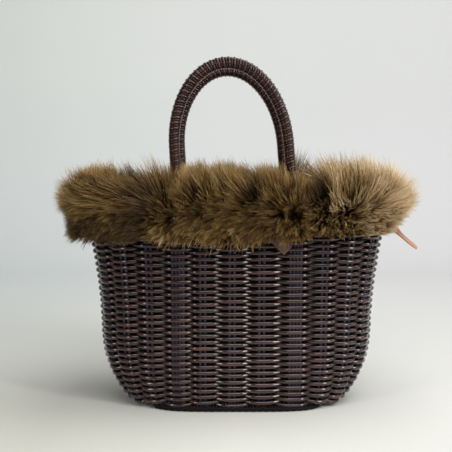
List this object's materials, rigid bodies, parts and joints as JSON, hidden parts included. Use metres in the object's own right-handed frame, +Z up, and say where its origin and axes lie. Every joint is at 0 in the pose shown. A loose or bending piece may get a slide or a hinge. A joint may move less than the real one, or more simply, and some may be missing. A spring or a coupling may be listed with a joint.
{
  "type": "basket bag",
  "caption": "Stiff woven basket bag with rounded corners, an open top, a fur trim folded over the rim, and arched wrapped handles at the front and the rear.",
  "frame": {"origin": "on the floor under the middle of the bag's overall box", "axes": "+Z up, +X to the right along the bag's width, the front faces -Y"},
  "size_m": [0.368, 0.193, 0.3485],
  "materials": {
    "woven_strand": "glossy dark brown lacquered strand",
    "wound_strand": "glossy dark brown lacquered strand, tightly wound",
    "stake": "satin blue-black thin rods",
    "handle_rod": "plain dark rods",
    "fur": "soft olive brown fur with light tips and a dark undercoat",
    "pelt_leather": "matt dark raw leather backing",
    "tie_leather": "matt light brown suede"
  },
  "bodies": {
    "basket": {"wall_weave": "woven_strand", "base_weave": "woven_strand", "rim_border": "woven_strand", "stake_group_01": "stake", "stake_group_02": "stake", "stake_group_03": "stake", "stake_group_04": "stake", "stake_group_05": "stake", "stake_group_06": "stake", "stake_group_07": "stake", "stake_group_08": "stake", "stake_group_09": "stake", "stake_group_10": "stake", "stake_group_11": "stake", "stake_group_12": "stake", "stake_group_13": "stake", "stake_group_14": "stake", "stake_group_15": "stake", "stake_group_16": "stake", "stake_group_17": "stake", "stake_group_18": "stake", "stake_group_19": "stake", "stake_group_20": "stake", "stake_group_21": "stake", "stake_group_22": "stake", "front_left_handle_root": "handle_rod", "front_right_handle_root": "handle_rod", "rear_left_handle_root": "handle_rod", "rear_right_handle_root": "handle_rod", "base_stick_1": "stake", "base_stick_2": "stake", "base_stick_3": "stake", "base_stick_4": "stake", "base_stick_5": "stake", "front_pelt_skin": "pelt_leather", "right_pelt_skin": "pelt_leather", "rear_pelt_skin": "pelt_leather", "left_pelt_skin": "pelt_leather", "front_pelt_fur": "fur", "right_pelt_fur": "fur", "rear_pelt_fur": "fur", "left_pelt_fur": "fur", "front_tie": "tie_leather", "right_tie": "tie_leather"},
    "front_handle": {"front_handle_core": "handle_rod", "front_handle_wrap": "wound_strand"},
    "rear_handle": {"rear_handle_core": "handle_rod", "rear_handle_wrap": "wound_strand"}
  },
  "joints": [
    {"name": "front_handle_lean", "type": "hinge", "parent": "basket", "child": "front_handle", "pos_m": [0, -0.06626, 0.2159], "axis": [-1, 0, 0], "range_deg": [-8, 24], "stiffness_Nm_per_rad": 3},
    {"name": "rear_handle_lean", "type": "hinge", "parent": "basket", "child": "rear_handle", "pos_m": [0, 0.06626, 0.2159], "axis": [1, 0, 0], "range_deg": [-8, 24], "stiffness_Nm_per_rad": 3}
  ]
}
